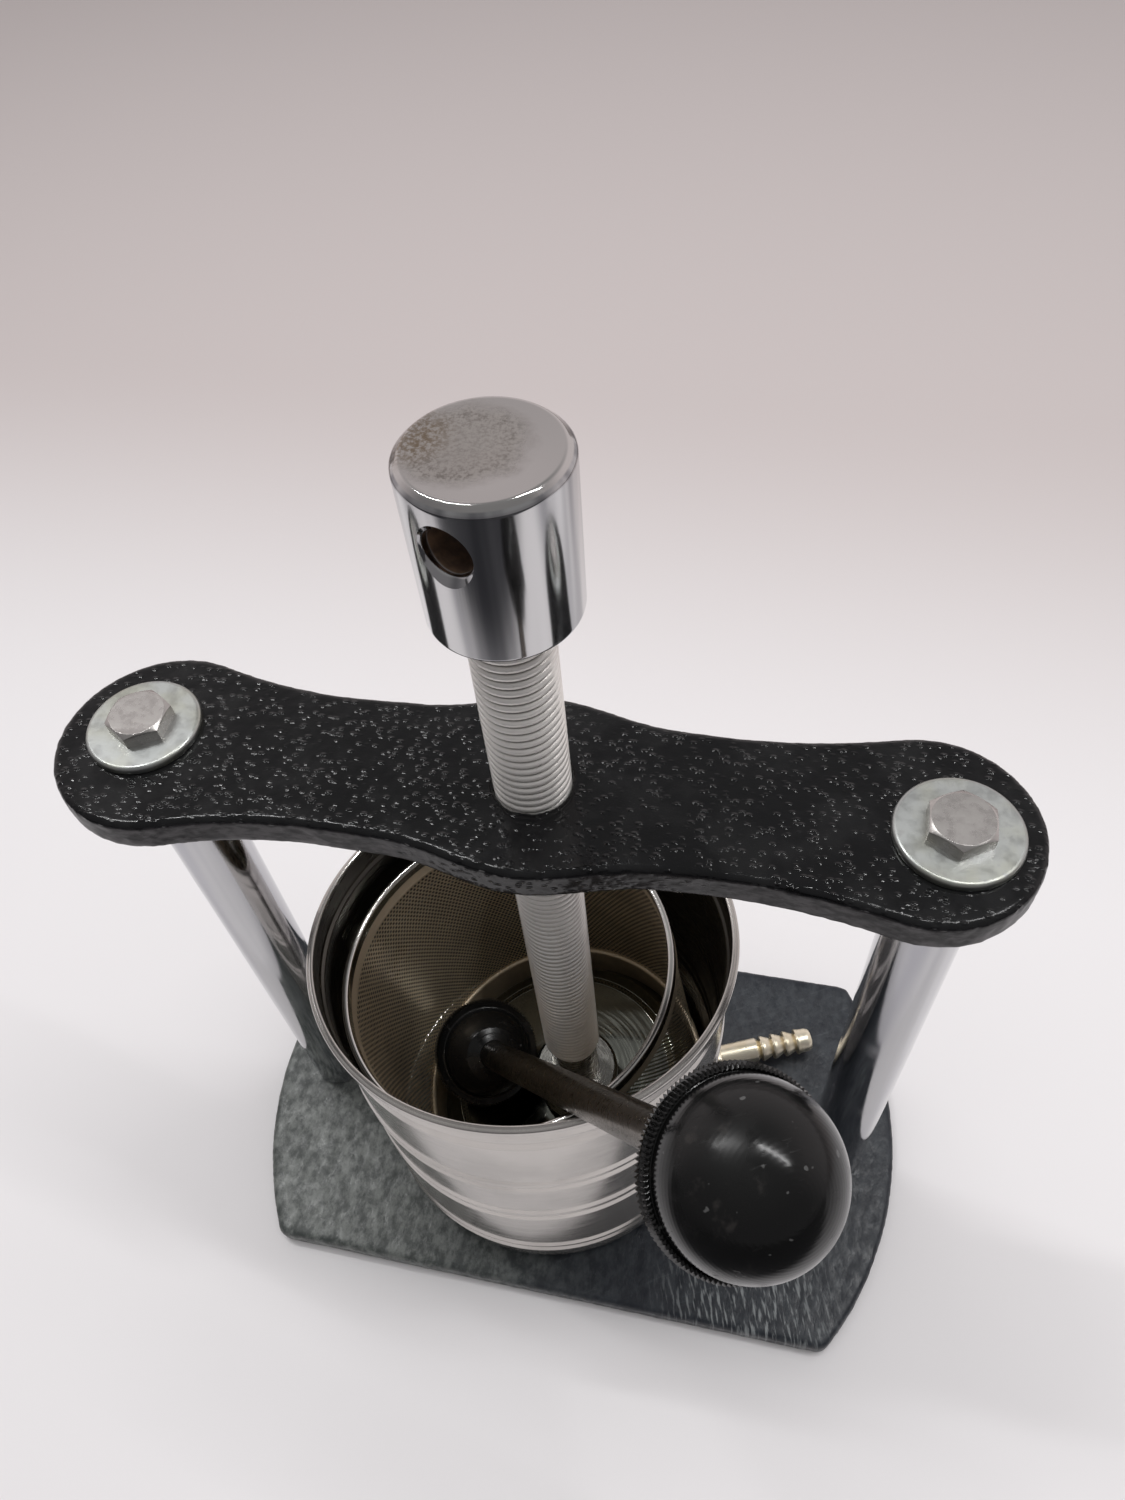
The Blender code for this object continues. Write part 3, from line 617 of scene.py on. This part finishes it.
foot_steel = plain_steel("foot_steel", (0.24, 0.235, 0.22), (screw_x, 0, 0))
eased("press_foot", 0.3, "foot", foot_steel, "swivel_foot")
thrust_brass = brass("thrust_brass")
refinish("thrust_washer", thrust_brass)
refinish("front_grub_screw", foot_steel)
refinish("rear_grub_screw", foot_steel)

# --- Vessel ----------------------------------------------------------------------------------

low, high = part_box("vessel")
vessel_x, vessel_y = (low.x + high.x) / 2, (low.y + high.y) / 2
lip, floor = high.z / MM, low.z / MM
VESSEL_RADIUS, WALL = 62.8, 1.0
MOUTH_OVAL, MOUTH_TURN = 3.2, radians(13.0)
NECK_LOW, NECK_HIGH, NECK_DEPTH = 131.2, 137.0, 1.3
GROOVES = (100.0, 94.2, 71.2, 64.8, 33.0, 27.4)  # heights of the rolled rings


def vessel_profile():
    """Outside from the lip down to the floor, then inside back up."""
    out, inner = VESSEL_RADIUS, VESSEL_RADIUS - WALL
    corners = [(inner - 0.1, lip - 0.5), (inner + 0.4, lip, 0.4), (out + 0.9, lip, 0.9), (out + 0.9, lip - 2.2, 0.9),
               (out + 0.2, lip - 3.0, 0.6), (out + 0.2, NECK_HIGH + 2.0, 0.9),
               (out - NECK_DEPTH, NECK_HIGH - 2.0, 0.9), (out - NECK_DEPTH, NECK_LOW + 2.0, 0.9),
               (out, NECK_LOW - 1.6, 1.5)]
    for ring in GROOVES:
        corners += [(out, ring + 2.1, 1.4), (out - 0.42, ring, 1.6), (out, ring - 2.1, 1.4)]
    corners += [(out, floor, 3.0), (0, floor), (0, floor + WALL), (inner, floor + WALL, 2.0)]
    for ring in reversed(GROOVES):
        corners += [(inner, ring - 2.1, 1.4), (inner - 0.4, ring, 1.6), (inner, ring + 2.1, 1.4)]
    corners += [(inner, NECK_LOW - 2.0, 1.2), (inner - NECK_DEPTH + 0.3, NECK_LOW - 0.4, 0.8),
                (inner - NECK_DEPTH + 0.3, NECK_HIGH + 0.4, 0.8), (inner - 0.1, NECK_HIGH + 1.8, 1.0)]
    return corners


vessel_bm = turn_profile(rounded(vessel_profile()), Matrix(), 160, True)
for vert in vessel_bm.verts:
    rise = max(0.0, (vert.co.z / MM - floor) / (lip - floor)) ** 1.5
    turn = atan2(vert.co.y, vert.co.x) - MOUTH_TURN
    vert.co.xy *= 1 + MOUTH_OVAL / VESSEL_RADIUS * rise * cos(2 * turn)
bmesh.ops.transform(vessel_bm, matrix=upright(vessel_x, vessel_y), verts=vessel_bm.verts)
vessel_steel = stainless("vessel_steel", (0.62, 0.59, 0.56), (vessel_x, vessel_y, 0)).paint(metallic=0.85)
vessel_mesh = add_piece("vessel_wall", vessel_bm, "vessel", vessel_steel, ["vessel"]).data
# inside finish: rougher steel whose dark colour is painted shade
vessel_mesh.materials.append(
    stainless("vessel_inside_painted_shade", (0.10, 0.095, 0.085), (vessel_x, vessel_y, 0), (0, 0, 0), (0.25, 0.4)).material)
for face in vessel_mesh.polygons:  # below the lip the wall's inside is rougher, and its colour is painted dark as shade
    out = face.center.xy - Vector((vessel_x, vessel_y))
    if face.normal.xy.dot(out) < 0 and face.center.z < (lip - 4) * MM:
        face.material_index = 1

OUTLET_TURN = radians(21.8)
outlet_way = Vector((cos(OUTLET_TURN), sin(OUTLET_TURN), 0))
low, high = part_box("outlet_gasket")
outlet = along(Vector((vessel_x, vessel_y, (low.z + high.z) / 2)), outlet_way)
outlet_brass = brass("outlet_brass")
STEM_BORE, STEM_TIP, STEM_ROOT, STEM_RADIUS = 2.3, 106.0, 66.0, 4.2
BARB_LOW, BARB_CREST, BARB_PITCH, OUTLET_FLATS = 3.95, 4.3, 4.8, 12.0
stem = [(STEM_BORE, STEM_TIP, 0.2), (3.4, STEM_TIP, 0.3)]
for i in range(4):
    ring = 105.0 - BARB_PITCH * i
    stem += [(BARB_LOW, ring, 0.4), (BARB_CREST, ring - 3.2, 0.6), (BARB_CREST, ring - 4.0, 0.3),
             (BARB_LOW, ring - 4.5, 0.2)]
stem += [(STEM_RADIUS, 84.0, 0.5), (STEM_RADIUS, STEM_ROOT), (STEM_BORE, STEM_ROOT)]
turned("outlet_stem", stem, outlet, "vessel", outlet_brass, ["outlet_barb"], 72, closed=True)


def hexagon(name, low, high, stands_for):
    """A hexagonal collar on the outlet, chamfered at both ends."""
    bm = bmesh.new()
    middle = outlet @ Matrix.Rotation(radians(30), 4, "Z") @ Matrix.Translation((0, 0, (low + high) / 2 * MM))
    corner = OUTLET_FLATS / 2 / cos(pi / 6) * MM
    bmesh.ops.create_cone(bm, cap_ends=True, segments=6, radius1=corner, radius2=corner, depth=(high - low) * MM,
                          matrix=middle)
    bmesh.ops.bevel(bm, geom=bm.edges[:], offset=0.4 * MM, offset_type="OFFSET", segments=3, profile=0.5,
                    affect="EDGES", material=-1, clamp_overlap=True)
    return add_piece(name, bm, "vessel", outlet_brass, stands_for)


hexagon("outlet_shoulder", 64.9, 69.0, ["outlet_barb"])
hexagon("outlet_lock_nut", 56.0, 61.0, ["outlet_nut"])
refinish("outlet_gasket", rubber())

# --- Basket ----------------------------------------------------------------------------------

basket_place = along(Vector(JOINTS["basket_turn"]["pos_m"]), JOINTS["basket_turn"]["axis"])
basket_at, basket_lean = basket_place.to_translation(), basket_place.to_euler()
BASKET_RADIUS, BASKET_HEIGHT, SHEET = 53.5, 116.5, 0.8
sheet_steel = stainless("basket_steel", (0.95, 0.80, 0.60), basket_at, basket_lean, (0.40, 0.52), 0.000002)
sheet_steel.paint(metallic=0.75)
PLAIN_LOW, PLAIN_HIGH = 17.0, 109.0  # the sheet is perforated between these heights
HOLE_PITCH, HOLE = 1.75, 1.12
BEAD_OUT, BEAD_UP, BEAD_DEPTH, BEAD_SHEET = 0.7, 1.0, 4, 0.4


def perforated(radius, low, high, pitch, hole):
    """A sheet of staggered round holes, rolled into a tube."""
    around = round(2 * pi * radius / pitch)
    rows = round((high - low) / (pitch * 0.866))
    bm = bmesh.new()
    bmesh.ops.create_grid(bm, x_segments=around, y_segments=rows, size=0.5)
    for vert in bm.verts:
        row = round((vert.co.y + 0.5) * rows)
        turn = (vert.co.x + (0.5 / around if row % 2 else 0.0)) * 2 * pi
        vert.co = Vector((radius * cos(turn), radius * sin(turn), low + (high - low) * row / rows)) * MM
    bmesh.ops.remove_doubles(bm, verts=bm.verts, dist=1e-6)
    bmesh.ops.triangulate(bm, faces=bm.faces, quad_method="SHORT_EDGE")
    inner = [vert for vert in bm.verts if not vert.is_boundary]
    made = bmesh.ops.bevel(bm, geom=inner, offset=hole / 2 * MM, offset_type="OFFSET", segments=1, profile=0.5,
                           affect="VERTICES", material=-1, clamp_overlap=True)
    holes = [face for face in made["faces"] if len(face.verts) == 6 and face.calc_area() < (hole * MM) ** 2]
    bmesh.ops.delete(bm, geom=holes, context="FACES")
    bmesh.ops.transform(bm, matrix=basket_place, verts=bm.verts)
    return bm


perforated_wall = perforated(BASKET_RADIUS - SHEET / 2, PLAIN_LOW, PLAIN_HIGH, HOLE_PITCH, HOLE)
add_piece("basket_perforated_wall", perforated_wall, "basket", sheet_steel, ["basket_shell"], 60.0)
inner = BASKET_RADIUS - SHEET
turned("basket_lower_band",
       [(BASKET_RADIUS, PLAIN_LOW + 0.4, 0.2), (BASKET_RADIUS, 0, 0.3), (inner, 0, 0.3),
        (inner, PLAIN_LOW + 0.4, 0.2)],
       basket_place, "basket", sheet_steel, ["basket_shell"], 160, closed=True)
turned("basket_upper_band",
       [(BASKET_RADIUS, BASKET_HEIGHT), (BASKET_RADIUS, PLAIN_HIGH - 0.4, 0.2), (inner, PLAIN_HIGH - 0.4, 0.2),
        (inner, BASKET_HEIGHT)],
       basket_place, "basket", sheet_steel, ["basket_shell"], 160, closed=True)
rim_steel = stainless("rim_steel", (0.78, 0.76, 0.73), basket_at, basket_lean, (0.1, 0.18))
rim_in, rim_out, rim_top = inner - BEAD_OUT, BASKET_RADIUS + BEAD_OUT, BASKET_HEIGHT + BEAD_UP
hollow_in, hollow_out, rim_low = rim_in + BEAD_SHEET, rim_out - BEAD_SHEET, rim_top - BEAD_DEPTH
turned("basket_rolled_rim",
       [(rim_in, rim_top, 0.9), (rim_out, rim_top, 0.9), (rim_out, rim_low), (hollow_out, rim_low),
        (hollow_out, rim_top - 0.7), (hollow_in, rim_top - 0.7), (hollow_in, rim_low), (rim_in, rim_low)],
       basket_place, "basket", rim_steel, ["basket_rim"], 160, closed=True)
refinish("basket_floor", sheet_steel)

PLATE_RADIUS, PLATE_LOW, PLATE_TOP, PLATE_SHEET = 51.4, 1.5, 14.5, 1.2
DISH_DEPTH, DISH_EDGE, DISH_RISE = 0.7, 11, 8.5  # the dish's bottom edge and top edge, in from the rim
plate_steel = stainless("plate_steel", (0.21, 0.215, 0.19), basket_at, basket_lean, (0.05, 0.12), 0.000004)
turned("press_plate_polished",
       [(0, PLATE_TOP - DISH_DEPTH), (PLATE_RADIUS - DISH_EDGE, PLATE_TOP - DISH_DEPTH, 2.0),
        (PLATE_RADIUS - DISH_RISE, PLATE_TOP, 1.5), (PLATE_RADIUS, PLATE_TOP, 4.5), (PLATE_RADIUS, PLATE_LOW, 0.4),
        (PLATE_RADIUS - PLATE_SHEET, PLATE_LOW, 0.4), (PLATE_RADIUS - PLATE_SHEET, PLATE_TOP - 1.9, 3.2),
        (0, PLATE_TOP - 1.9)],
       basket_place, "plate", plate_steel, ["press_plate"], 160)

# --- T-bar -----------------------------------------------------------------------------------

INNER_KNOB, OUTER_KNOB = Vector((-34.6, 0.5, 47.5)) * MM, Vector((63.2, -85.3, 237.3)) * MM
ROD_RADIUS, KNOB_RADIUS, TEETH = 5.0, 18.7, 116
INNER_COLLAR, OUTER_COLLAR = 19.1, 19.7  # the inner one clears the press foot when the vessel turns
COLLAR_LOW, COLLAR_HIGH, BACK_RADIUS, BACK_CENTRE = 2.7, 6.5, 17.0, 3
BUSH_HOLE, BUSH_SEAT, BUSH_LOW, BUSH_HIGH = 5.25, 6.8, 2.7, 17.1
rod_way = (OUTER_KNOB - INNER_KNOB).normalized()
rod_length = (OUTER_KNOB - INNER_KNOB).length / MM
rod_place = along(INNER_KNOB, rod_way)
turned("rod", [(0, rod_length - 4), (ROD_RADIUS, rod_length - 4, 0.8), (ROD_RADIUS, 4, 0.8), (0, 4)], rod_place,
       "handle", plain_steel("rod_steel", (0.20, 0.18, 0.16), INNER_KNOB, rod_place.to_euler(), (0.26, 0.32)),
       ["handle_rod"], 72)


def knob(place, collar):
    """A ball with a serrated collar toward the rod and a rounded back that closes over the bush."""
    ball = [(KNOB_RADIUS * cos(t), KNOB_RADIUS * sin(t)) for t in (radians(-90 + 98 * i / 30) for i in range(31))]
    back = [(BACK_RADIUS * cos(t), BACK_CENTRE + BACK_RADIUS * sin(t))
            for t in (radians(13 + 41 * i / 8) for i in range(9))]
    profile = ball + rounded([(KNOB_RADIUS, COLLAR_LOW), (collar, COLLAR_LOW, 0.3),
                              (collar, COLLAR_HIGH, 0.3), (BACK_RADIUS, COLLAR_HIGH + 0.2)], 2) + back
    profile += rounded([back[-1], (8.0, 17.4, 1.0), (BUSH_HOLE, 17.5, 0.2), (BUSH_HOLE, BUSH_HIGH),
                        (BUSH_SEAT, BUSH_HIGH), (BUSH_SEAT, BUSH_LOW), (0, BUSH_LOW)])
    bm = turn_profile(profile, Matrix(), TEETH * 4, False)
    for vert in bm.verts:  # cut the collar's teeth
        reach = vert.co.xy.length / MM
        if reach > KNOB_RADIUS + 0.15:
            tooth = 0.5 + 0.5 * cos(TEETH * atan2(vert.co.y, vert.co.x))
            vert.co.xy *= 1 - 0.6 * tooth * (reach - KNOB_RADIUS - 0.15) / (collar - KNOB_RADIUS) / reach
    bmesh.ops.transform(bm, matrix=place, verts=bm.verts)
    return bm


plastic = knob_plastic()
bush_brass = brass("bush_brass")
for name, place, collar in (("inner_knob", rod_place, INNER_COLLAR),
                            ("outer_knob", along(OUTER_KNOB, -rod_way), OUTER_COLLAR)):
    add_piece(f"{name}_ball", knob(place, collar), "handle", plastic, [name], 40.0)
    refinish(f"{name}_bush", bush_brass)

# --- Floor, light and camera -----------------------------------------------------------------

PAPER, FAR_PAPER, WALL = (0.78, 0.76, 0.77), (0.555, 0.50, 0.495), (0.56, 0.50, 0.495)
ROOM_FRONT, ROOM_BACK, ROOM_TOP = (0.19, 0.185, 0.19), (0.68, 0.63, 0.63), (0.25, 0.25, 0.25)

bm = bmesh.new()
bmesh.ops.create_circle(bm, cap_ends=True, segments=64, radius=6.0)
mesh = bpy.data.meshes.new("table")
bm.to_mesh(mesh)
bm.free()
table = bpy.data.objects.new("table", mesh)
bpy.context.scene.collection.objects.link(table)
paper = Finish("table_paper", PAPER, 0.6)
ground = paper.tree.nodes.new("ShaderNodeSeparateXYZ")
paper.set(ground, {0: paper.place})
depth = Value(paper, ground.outputs["Y"])
tint = paper.mix(paper.step(depth, 0.12, 0.50), PAPER, FAR_PAPER)
# Polished metal mirrors a dark room beyond the paper's front edge.
mirrored = paper.node("ShaderNodeLightPath", {}, {}, "Is Glossy Ray")
paper.paint(colour=paper.mix(mirrored * paper.step(depth, -0.20, -0.32), tint, (0.05, 0.05, 0.055)))
table.data.materials.append(paper.material)


def lamp(name, place, size, power, heading=0.0, mirrored=True):
    """A rectangular lamp that shines straight down."""
    light = bpy.data.lights.new(name, "AREA")
    light.shape = "RECTANGLE"
    light.size, light.size_y = size
    light.energy = power
    obj = bpy.data.objects.new(name, light)
    obj.location = place
    obj.rotation_euler = (0, 0, heading)
    obj.visible_glossy = mirrored
    bpy.context.scene.collection.objects.link(obj)


lamp("ceiling", (0.1, 0.1, 1.7), (1.6, 1.4), 15.0, mirrored=False)
lamp("tube_left", (-0.75, 0.30, 1.6), (0.9, 0.035), 7.0)
lamp("tube_right", (0.70, 0.22, 1.6), (1.1, 0.035), 7.0, radians(-12))

world = bpy.data.worlds.new("room")
world.use_nodes = True
bpy.context.scene.world = world
nodes, links = world.node_tree.nodes, world.node_tree.links


def blend(factor, first, second):
    """A colour mix in the world; a colour is given as numbers or as a socket."""
    node = nodes.new("ShaderNodeMix")
    node.data_type = "RGBA"
    for index, value in ((0, factor), (6, first), (7, second)):
        if isinstance(value, tuple):
            node.inputs[index].default_value = (*value, 1.0)
        else:
            links.new(value, node.inputs[index])
    return node.outputs[2]


def fade(value, low, high):
    """Ease from 0 to 1 as a socket's value goes from low to high."""
    node = nodes.new("ShaderNodeMapRange")
    node.interpolation_type = "SMOOTHSTEP"
    node.inputs["From Min"].default_value = low
    node.inputs["From Max"].default_value = high
    links.new(value, node.inputs["Value"])
    return node.outputs[0]


direction = nodes.new("ShaderNodeSeparateXYZ")
links.new(nodes.new("ShaderNodeTexCoord").outputs["Generated"], direction.inputs[0])
room = blend(fade(direction.outputs["Y"], -0.35, 0.45), ROOM_FRONT, ROOM_BACK)
room = blend(fade(direction.outputs["Z"], 0.35, 0.95), room, ROOM_TOP)
seen = nodes.new("ShaderNodeLightPath").outputs["Is Camera Ray"]
links.new(blend(seen, room, WALL), nodes["Background"].inputs["Color"])

CAMERA_AT = (0.05609, -0.15014, 0.45035)
HEADING, TILT, ROLL = radians(-16.907), radians(52.283), radians(6.385)
forward = Vector((sin(HEADING) * cos(TILT), cos(HEADING) * cos(TILT), -sin(TILT)))
right = Vector((cos(HEADING), -sin(HEADING), 0))
down = forward.cross(right)
side = right * cos(ROLL) + down * sin(ROLL)
up = right * sin(ROLL) - down * cos(ROLL)
camera = bpy.data.objects.new("camera", bpy.data.cameras.new("camera"))
camera.data.lens = 26.37
camera.data.sensor_width = 36.0
camera.data.clip_start = 0.01
camera.matrix_world = Matrix.Translation(CAMERA_AT) @ Matrix((side, up, -forward)).transposed().to_4x4()
bpy.context.scene.collection.objects.link(camera)
bpy.context.scene.camera = camera
bpy.context.scene.view_settings.view_transform = "Standard"
